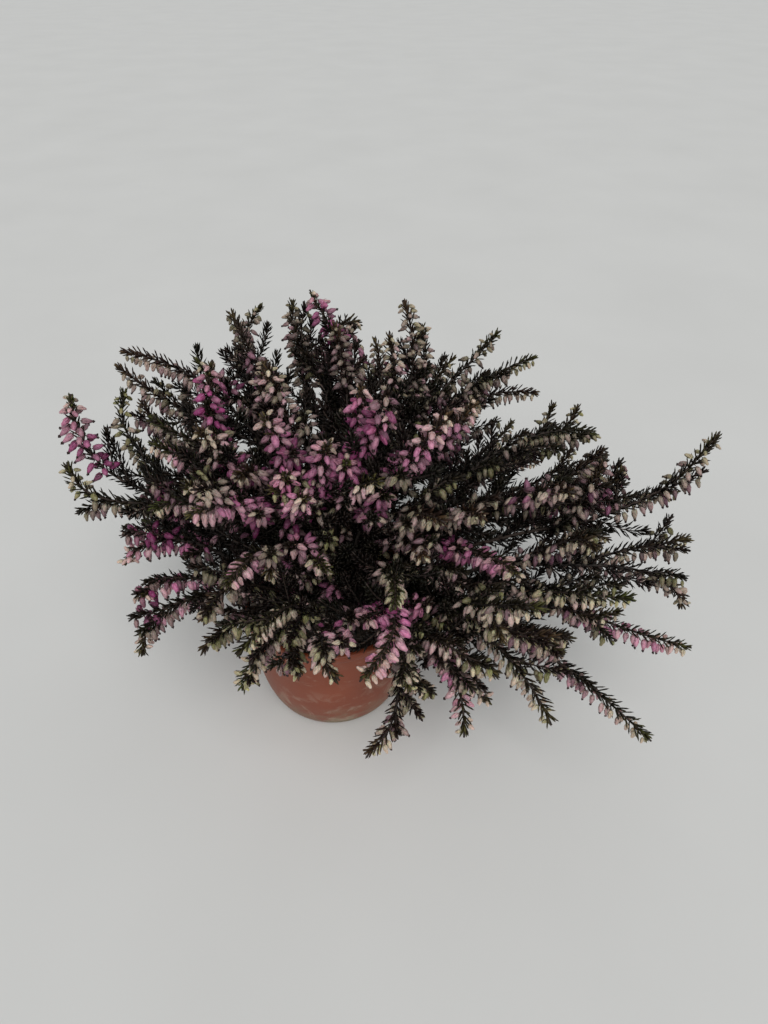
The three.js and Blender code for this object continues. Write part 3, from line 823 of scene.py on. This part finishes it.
# A petal is thin and dry, soft in sheen, faintly veined, and glows a little where light comes through it
varied, pattern = tinted(petal, scale=1.1, dark=0.84, light=1.12)
bump = add(petal, "Bump", {"Height": pattern, "Strength": 0.35, "Distance": 0.0002}).outputs["Normal"]
rough = add(petal, "MapRange", {"Value": pattern, "To Min": 0.42, "To Max": 0.62}).outputs["Result"]
shell = add(
    petal,
    "BsdfPrincipled",
    {
        "Base Color": varied,
        "Roughness": rough,
        "Normal": bump,
        "IOR": 1.4,
        "Subsurface Weight": 0.25,
        "Subsurface Radius": (1, 0.5, 0.5),
        "Subsurface Scale": 0.0012,
    },
).outputs[0]
add(petal, "OutputMaterial", {"Surface": shell})

anther = new_material("dry anther")
# Anthers are dry and dark, almost black, with a brown dust of pollen
place = add(anther, "TexCoord").outputs["Object"]
dust = add(anther, "TexNoise", {"Vector": place, "Scale": per_mm(0.5), "Detail": 2}).outputs["Fac"]
brown = add(
    anther, "Mix", {0: dust, 6: linear("#0e0809"), 7: linear("#3a1f1c")}, data_type="RGBA"
).outputs[2]
bump = add(anther, "Bump", {"Height": dust, "Strength": 0.5, "Distance": 0.0001}).outputs["Normal"]
rough = add(anther, "MapRange", {"Value": dust, "To Min": 0.6, "To Max": 0.9}).outputs["Result"]
shell = add(anther, "BsdfPrincipled", {"Base Color": brown, "Roughness": rough, "Normal": bump}).outputs[0]
add(anther, "OutputMaterial", {"Surface": shell})

plant_finishes = [bark, leaf, petal, anther]

# ---------------------------------------------------------------------------------------------------------
# The stems. Each grew as one piece with its side shoots: thin bark, whorls of four needles up to the tip,
# short leafy twigs and flowering sprigs, and flowers that hang from the last stretch of every shoot.
# ---------------------------------------------------------------------------------------------------------

STEM_SEED = 23
POT_CLEAR = 1.5
SOIL_CLEAR = 1
LIP_CLEAR = 5
OUTLYING = (70, 165)
VIVID = (0.6, 0.78)
chance = random.Random(STEM_SEED)


def eased(low, high, value):
    """Rises smoothly from 0 at the low value to 1 at the high one"""
    share = min(1, max(0, (value - low) / (high - low)))
    return share * share * (3 - 2 * share)


def jitter(amount):
    """A random value between minus and plus an amount"""
    return chance.uniform(-amount, amount)


def hue_at(hues, steps, value):
    """The colour at a value, between the hues that stand at these steps"""
    return np.array([np.interp(value, steps, hues[:, k]) for k in range(3)])


def in_pot(point):
    """Whether a point is in the pot's wall or its compost, where nothing grows"""
    reach = math.hypot(point.x, point.y)
    if point.z >= POT_HEIGHT + POT_CLEAR or reach >= RIM_RADIUS + POT_CLEAR:
        return False
    return point.z < soil_height(point.x, point.y) + SOIL_CLEAR or reach > RIM_RADIUS - LIP_CLEAR


def outlying(line):
    """How far a shoot's tip stands out of the bush, from 0 to 1"""
    tip = line.at(line.length)
    return eased(*OUTLYING, math.hypot(tip.x, tip.y))


# Bark: a stem is thickest at its root, and twigs and sprigs are thin
ROOT_BARK_RADIUS = 1.35
SHOOT_BARK_RADIUS = 0.9
TIP_BARK_RADIUS = 0.45
SPRIG_BARK_RADII = (0.5, 0.35)
TWIG_BARK_RADII = (0.45, 0.3)
RING_DIGITS = 4
SAME_RING = 0.001
bark_root = np.array(linear("#1f1610"))
bark_tip = np.array(linear("#32241b"))


def lay_rind(spray, part, line, root_radius, tip_radius):
    """Lays a closed rod along a line, as its bark"""
    heights = part[1][:, 2]
    places = np.empty_like(part[1])
    for height in np.unique(heights.round(RING_DIGITS)):
        _, across, lower = line.sides(height * line.length)
        ring = np.abs(heights - height) < SAME_RING
        radius = root_radius + (tip_radius - root_radius) * height
        spokes = np.array([across * radius, lower * radius])
        places[ring] = part[1][ring, :2] @ spokes + np.array(line.at(height * line.length))
    grow(spray, part, places, bark_root + (bark_tip - bark_root) * chance.random())


# Needles: they stand in whorls of four and lie close at a shoot's tip. Further back they open, darken and
# stand further apart. Their darkening is partly age and partly painted shade, near black deep in the bush.
# A needle's age is its distance from the tip, and its opening is in degrees.
WHORL_NEEDLES = 4
WHORL_STEP = 2.8
SPRIG_WHORL_STEP = 2.9
TWIG_WHORL_STEP = 2.6
FIRST_WHORL = 3
TWIG_FIRST_WHORL = 2
LAST_WHORL = 3
LEAFY_FROM = 14
PLAIN_FROM = 40
# Sprig and twig needles count as this much older: they take the plain needle, and the darker tints paint
# shade on them inside the bush
SPRIG_AGE = 30
TWIG_AGE = 40
TIP_STRETCH = (0, 14)
TIP_OPENING = 27
GROWN_OPENING = 19
OLD_OPENING = 18
TIP_NEEDLE = 0.68
NEEDLE_GROWTH = 0.32
OLD_SHRINK = 0.2
NEEDLE_TURN = 0.3
NEEDLE_SPREAD = 0.24
NEEDLE_LIFT = 0.12
NEEDLE_SIZES = (0.86, 1.1)
AGE_VARIES = (-6, 12)
NEEDLE_TONES = (0.65, 1.5)
OLIVE_SHARE = (-0.6, 1)
olive = np.array([0.8, 1.2, 0.75])
# Needle tints by age, from olive at the tip to near black on old wood: partly age, partly painted shade
# inside the bush
leaf_age_and_shade_hues = np.array([linear(code) for code in ("#463e26", "#281f16", "#140e0a", "#0c0706")])
leaf_ages = (0, 14, 50, 110)


def clothe(spray, line, start, spacing, size, age):
    """Sets whorls of needles along a line, from a distance to its tip"""
    distance = start
    whorl = 0
    tone = 1 + (olive - 1) * chance.uniform(*OLIVE_SHARE)
    while distance < line.length - LAST_WHORL:
        left = line.length - distance
        part = needle if left + age < PLAIN_FROM else plain_needle
        along, across, lower = line.sides(distance)
        root = line.at(distance)
        grown = eased(*TIP_STRETCH, left)
        opening = math.radians(TIP_OPENING + GROWN_OPENING * grown + OLD_OPENING * eased(40, 150, left))
        length = size * (TIP_NEEDLE + NEEDLE_GROWTH * grown) * (1 - OLD_SHRINK * eased(70, 140, left))
        for k in range(WHORL_NEEDLES):
            turn = (k + 0.5 * (whorl % 2)) * math.tau / WHORL_NEEDLES + jitter(NEEDLE_TURN)
            out = across * math.cos(turn) + lower * math.sin(turn)
            spread = opening + jitter(NEEDLE_SPREAD)
            axis = along * math.cos(spread) + out * math.sin(spread) + UP * NEEDLE_LIFT
            axis.normalize()
            long = length * chance.uniform(*NEEDLE_SIZES)
            if in_pot(root + axis * long * NEEDLE_LENGTH) or in_pot(root):
                continue
            # Painted shade: needle tints darken with age, partly as old needles do and partly as shade deep
            # in the bush
            hue = hue_at(leaf_age_and_shade_hues, leaf_ages, left + age + chance.uniform(*AGE_VARIES))
            hue = hue * tone * chance.uniform(*NEEDLE_TONES)
            grow(spray, part, set_at(part, root, -out, axis, (1, 1, long)), hue)
        distance += spacing * (0.5 + 0.5 * eased(0, 20, left)) * (1 + 0.35 * eased(70, 130, left))
        whorl += 1


# Flowers: they hang from the last stretch of a shoot, in ranks over a fan that is given in degrees to each
# side. Shoots towards the viewer get painted light, lighter flower tints, and vivid ones there get more
# painted light and are the fullest.
RACEME_LENGTH = (28, 46)
RACEME_REACH = 28
RACEME_SHARE = 0.8
RACEME_TIP = 2
FLOWER_RANKS = (-0.95, 0.15, 0.7, -0.5, 0.95, -0.15, -0.7, 0.5)
FLOWER_STEP = 1.08
STEP_VARIES = (0.8, 1.25)
OUTLYING_GAPS = 0.5
VIVID_CROWDING = 0.12
NEAR_CROWDING = 0.23
FAN_LEVEL = 72
FAN_STEEP = 88
FAN_VIVID = 60
FAN_WIDEST = 170
FAN_JITTER = 0.22
HANG_STEEPEST = 0.9
DROOP = (0.5, 0.9)
STEEP_DROOP = 0.3
FALLING_DROOP = 0.5
FLOWER_LEAN = (-0.12, 0.32)
FLOWER_TURN = (-0.3, 0.5)
TIP_FLOWER = 0.68
FLOWER_GROWTH = 0.32
VIVID_GROWTH = 0.1
FLOWER_SIZES = (0.86, 1.1)
FLOWER_WIDTHS = (0.9, 1.08)
OPEN_AGE = (0.12, 0.4)
STALK_SEAT = 0.5
LOST_SHARE = 0.04
TOWARDS_VIEWER = (-50, 110)
NEAR_VIEWER = (40, 90)
FRONT_EDGE = (60, 110)
SHOOT_PAINTED_LIGHT = (0.44, 0.92)
FRONT_PAINTED_LIGHT = 0.3
NEAR_PAINTED_LIGHT = 0.22
VIVID_PAINTED_LIGHT = 0.2
EDGE_PAINTED_LIGHT = 0.5
BLOOM_VARIES = 0.16
FLOWER_TONES = (0.72, 1.14)
PETAL_PALEST = 0.6
bloom_hues = np.array([linear(code) for code in ("#a09b6e", "#cbbaa8", "#c4a1a5", "#b87a97", "#a6477f")])
bloom_steps = (0, 0.25, 0.5, 0.75, 1)


def bloom_along(spray, line, bloom, shade, step):
    """Hangs flowers from the last stretch of a shoot: below a level one, and all round an upright one"""
    reach = min(chance.uniform(*RACEME_LENGTH) + RACEME_REACH * outlying(line), RACEME_SHARE * line.length)
    front = -line.at(line.length).y
    near = eased(*NEAR_VIEWER, front)
    vivid = eased(*VIVID, bloom)
    # Painted light and shade: flower tints are lighter on shoots towards the viewer and on vivid ones at the
    # front edge, and darker on sprigs inside the bush
    light = chance.uniform(*SHOOT_PAINTED_LIGHT) + FRONT_PAINTED_LIGHT * eased(*TOWARDS_VIEWER, front) + NEAR_PAINTED_LIGHT * near
    front_vivid_painted_light = (VIVID_PAINTED_LIGHT + EDGE_PAINTED_LIGHT * eased(*FRONT_EDGE, front)) * eased(0.55, 0.78, bloom)
    light = (light + front_vivid_painted_light) * shade
    gaps = 1 + OUTLYING_GAPS * outlying(line) * (1 - vivid)
    step *= gaps * (1 - (VIVID_CROWDING + NEAR_CROWDING * near) * vivid)
    left = reach
    rank = 0
    while left > RACEME_TIP:
        distance = line.length - left
        along, across, lower = line.sides(distance)
        steep = abs(along.z)
        if steep < HANG_STEEPEST:
            lower = (-UP - along * along.dot(-UP)).normalized()
            across = along.cross(lower)
        fan = FAN_LEVEL + FAN_STEEP * eased(0.35, 0.85, steep) + FAN_VIVID * vivid
        half = math.radians(min(FAN_WIDEST, fan))
        angle = half * FLOWER_RANKS[rank % len(FLOWER_RANKS)] + jitter(FAN_JITTER)
        out = lower * math.cos(angle) + across * math.sin(angle)
        age = (left - RACEME_TIP) / (reach - RACEME_TIP)
        droop = chance.uniform(*DROOP) - STEEP_DROOP * eased(0.55, 0.92, steep)
        droop -= FALLING_DROOP * eased(0.15, 0.7, -along.z)
        axis = out * (0.66 + 0.2 * steep) - UP * droop + along * chance.uniform(*FLOWER_LEAN)
        axis.normalize()
        face = out + along * chance.uniform(*FLOWER_TURN)
        size = (TIP_FLOWER + FLOWER_GROWTH * eased(0, 0.3, age)) * chance.uniform(*FLOWER_SIZES)
        size *= 1 + VIVID_GROWTH * eased(0.6, 0.8, bloom)
        width = size * chance.uniform(*FLOWER_WIDTHS)
        part = flower if age > chance.uniform(*OPEN_AGE) else bud
        side = axis.cross(face).normalized()
        top = line.at(distance) + out * STALK_SEAT
        top -= (side.cross(axis) * STALK_ROOT.x + axis * STALK_ROOT.z) * size
        if not in_pot(top + axis * FLOWER_LENGTH * size) and chance.random() > LOST_SHARE:
            depth = bloom * (0.78 + 0.3 * age) + jitter(BLOOM_VARIES)
            depth *= eased(-0.22, 0.22, age)
            # Flowers further down the shoot get darker tints: partly their ageing, partly painted shade deep
            # in the bush
            hue = hue_at(bloom_hues, bloom_steps, depth) * light * (1.1 - 0.42 * age)
            hue = hue * chance.uniform(*FLOWER_TONES)
            hue *= min(1, PETAL_PALEST / hue.max())
            grow(spray, part, set_at(part, top, face, axis, (width, width, size)), hue)
        left -= step * chance.uniform(*STEP_VARIES)
        rank += 1


# Twigs: short and leafy, they leave a shoot on every side and turn up towards the light. None hangs low in
# front of the pot. They end well before the tip, and further back on an outlying shoot.
TWIG_NEAREST = 2
TWIG_STEP = 8.8
TWIG_STEP_VARIES = (0.7, 1.3)
TWIG_LENGTH = (16, 30)
TWIG_ALONG = 0.7
TWIG_OUT = 0.8
TWIG_RISE = 0.3
TWIG_LIFT = 0.8
TWIG_BOW = 0.4
TWIG_CLEAR = (26, 62)
TWIG_FRONT = -72
TWIG_LOWEST = 100


def twig_line(line, distance):
    """The line of a short leafy twig that leaves a shoot and turns up towards the light"""
    along, across, lower = line.sides(distance)
    turn = chance.uniform(0, math.tau)
    out = across * math.cos(turn) + lower * math.sin(turn)
    start = line.at(distance)
    way = (along * TWIG_ALONG + out * TWIG_OUT).normalized()
    length = chance.uniform(*TWIG_LENGTH)
    tip = start + (way + UP * TWIG_RISE).normalized() * length
    return Line(start, way, TWIG_BOW * length, tip, (way + UP * TWIG_LIFT).normalized())


# Sprigs: short and flowering, they leave a shoot between these shares of its length and grow outwards. Their
# flowers have painted shade, darker tints because they stand in the bush. Shoots in front and high on the
# right have the most.
SPRIG_SPANS = ((0.42, 0.6), (0.62, 0.8), (0.24, 0.4))
SPRIG_LENGTH = (18, 34)
SPRIG_ALONG = 0.5
SPRIG_OUT = 0.7
SPRIG_FAN = 0.9
SPRIG_LIFT = (-0.9, 0.5)
SPRIG_BOW = 0.3
SPRIG_STEP = 1.4
SPRIG_NEEDLES = 0.85
# Painted shade: how much darker the flower tints of sprigs inside the bush are
SPRIG_PAINTED_SHADE = 0.58
SPRIG_BLOOM_VARIES = 0.35
SPRIG_PALEST = 0.05
SKY_SLOPE = 0.8
FRONT_TIPS = -40
RIGHT_TIPS = (60, 130)
LEFT_TIPS = (-60, 160)


def sprig_line(line, distance):
    """The line of a short flowering sprig, which grows out of the bush where there is light"""
    along, across, _ = line.sides(distance)
    start = line.at(distance)
    light = Vector((start.x, start.y, SKY_SLOPE * (start.z - SOIL_TOP))).normalized()
    way = (along * SPRIG_ALONG + light * SPRIG_OUT + across * jitter(SPRIG_FAN)).normalized()
    length = chance.uniform(*SPRIG_LENGTH)
    end, tip = line.at(line.length), start + way * length
    length -= max(0, math.hypot(tip.x, tip.y) - math.hypot(end.x, end.y))
    tip = start + way * length
    tip_way = (way + UP * chance.uniform(*SPRIG_LIFT)).normalized()
    return Line(start, along, SPRIG_BOW * length, tip, tip_way)


def sprig_spans(tip):
    """The shares of a shoot's length between which its sprigs leave it"""
    if tip.x < LEFT_TIPS[0] and tip.z > LEFT_TIPS[1]:
        return SPRIG_SPANS[:1]
    if tip.y < FRONT_TIPS or (tip.x > RIGHT_TIPS[0] and tip.z > RIGHT_TIPS[1]):
        return SPRIG_SPANS
    return SPRIG_SPANS[:2]


# Each stem and its side shoots are clothed one after another and make one piece
SHOOT_NEEDLES = (0.88, 1.04)
VIVID_NEEDLES = 0.2

for k, shoots in enumerate(plants):
    spray = bmesh.new()
    for order, (line, bloom) in enumerate(shoots):
        root_radius = SHOOT_BARK_RADIUS if order else ROOT_BARK_RADIUS
        lay_rind(spray, rod, line, root_radius, TIP_BARK_RADIUS)
        first = FIRST_WHORL if order else ROOT_DEPTH + LEAFY_FROM
        size = chance.uniform(*SHOOT_NEEDLES) - VIVID_NEEDLES * eased(*VIVID, bloom)
        clothe(spray, line, first, WHORL_STEP, size, 0)
        bloom_along(spray, line, bloom, 1, FLOWER_STEP)
        for span in sprig_spans(line.at(line.length)):
            sprig = sprig_line(line, line.length * chance.uniform(*span))
            if not in_pot(sprig.at(sprig.length)):
                lay_rind(spray, switch, sprig, *SPRIG_BARK_RADII)
                clothe(spray, sprig, FIRST_WHORL, SPRIG_WHORL_STEP, SPRIG_NEEDLES, SPRIG_AGE)
                sprig_bloom = min(1, max(SPRIG_PALEST, bloom + jitter(SPRIG_BLOOM_VARIES)))
                bloom_along(spray, sprig, sprig_bloom, SPRIG_PAINTED_SHADE, SPRIG_STEP)
        distance = first + chance.uniform(TWIG_NEAREST, TWIG_STEP)
        clear = TWIG_CLEAR[0] + (TWIG_CLEAR[1] - TWIG_CLEAR[0]) * outlying(line)
        while distance < line.length - clear:
            twig = twig_line(line, distance)
            end = twig.at(twig.length)
            if (end.y > TWIG_FRONT or end.z > TWIG_LOWEST) and not in_pot(end):
                lay_rind(spray, switch, twig, *TWIG_BARK_RADII)
                clothe(spray, twig, TWIG_FIRST_WHORL, TWIG_WHORL_STEP, 1, TWIG_AGE)
            distance += TWIG_STEP * chance.uniform(*TWIG_STEP_VARIES)
    keep(f"heath_stem_{k + 1:02d}", spray, f"stem_{k + 1:02d}", plant_finishes)

# ---------------------------------------------------------------------------------------------------------
# The stage: a plain pale floor, a soft sky, one large soft light, and the camera where the photograph was
# taken from. None of it belongs to the plant. Its lengths are in metres, and its turns in degrees.
# ---------------------------------------------------------------------------------------------------------

FLOOR_CELLS = 8
FLOOR_SIZE = 8
SKY_STRENGTH = 0.44
LAMP_STRENGTH = 2.3
LAMP_SPREAD = 50
LAMP_TILT = (36, 6)
FILM_WIDTH = 36
PICTURE_HEIGHT = 1024
FOCAL_PIXELS = 700
CENTRE_PIXELS = (2, -39)
CAMERA_NEAR = 0.01
CAMERA_PLACE = (0.029, -0.274, 0.3688)
CAMERA_PITCH = 37.69

floor_shape = bmesh.new()
bmesh.ops.create_grid(floor_shape, x_segments=FLOOR_CELLS, y_segments=FLOOR_CELLS, size=FLOOR_SIZE)
floor_mesh = bpy.data.meshes.new("floor")
floor_shape.to_mesh(floor_mesh)
floor_shape.free()
floor = bpy.data.objects.new("floor", floor_mesh)
bpy.context.scene.collection.objects.link(floor)

board = new_material("pale painted board")
place = add(board, "TexCoord").outputs["Object"]
scuff = add(board, "TexNoise", {"Vector": place, "Scale": per_mm(160), "Detail": 3}).outputs["Fac"]
pale = add(
    board, "Mix", {0: scuff, 6: linear("#c9c8c5"), 7: linear("#d3d2cf")}, data_type="RGBA"
).outputs[2]
shell = add(board, "BsdfPrincipled", {"Base Color": pale, "Roughness": 0.6}).outputs[0]
add(board, "OutputMaterial", {"Surface": shell})
floor_mesh.materials.append(board)

sky = bpy.data.worlds.new("soft sky")
sky.use_nodes = True
sky.node_tree.nodes["Background"].inputs["Color"].default_value = linear("#e6ebee")
sky.node_tree.nodes["Background"].inputs["Strength"].default_value = SKY_STRENGTH
bpy.context.scene.world = sky

# One wide, soft light hangs high over the plant, on the camera's side and a little to its right
lamp = bpy.data.lights.new("overhead softbox", "SUN")
lamp.angle = math.radians(LAMP_SPREAD)
lamp.energy = LAMP_STRENGTH
light = bpy.data.objects.new("overhead softbox", lamp)
light.rotation_euler = (math.radians(LAMP_TILT[0]), math.radians(LAMP_TILT[1]), 0)
bpy.context.scene.collection.objects.link(light)

camera_data = bpy.data.cameras.new("camera")
camera_data.lens = FOCAL_PIXELS / PICTURE_HEIGHT * FILM_WIDTH
camera_data.shift_x = CENTRE_PIXELS[0] / PICTURE_HEIGHT
camera_data.shift_y = CENTRE_PIXELS[1] / PICTURE_HEIGHT
camera_data.clip_start = CAMERA_NEAR
camera = bpy.data.objects.new("camera", camera_data)
camera.location = CAMERA_PLACE
camera.rotation_euler = (math.radians(90 - CAMERA_PITCH), 0, 0)
bpy.context.scene.collection.objects.link(camera)
bpy.context.scene.camera = camera
bpy.context.scene.view_settings.view_transform = "Standard"
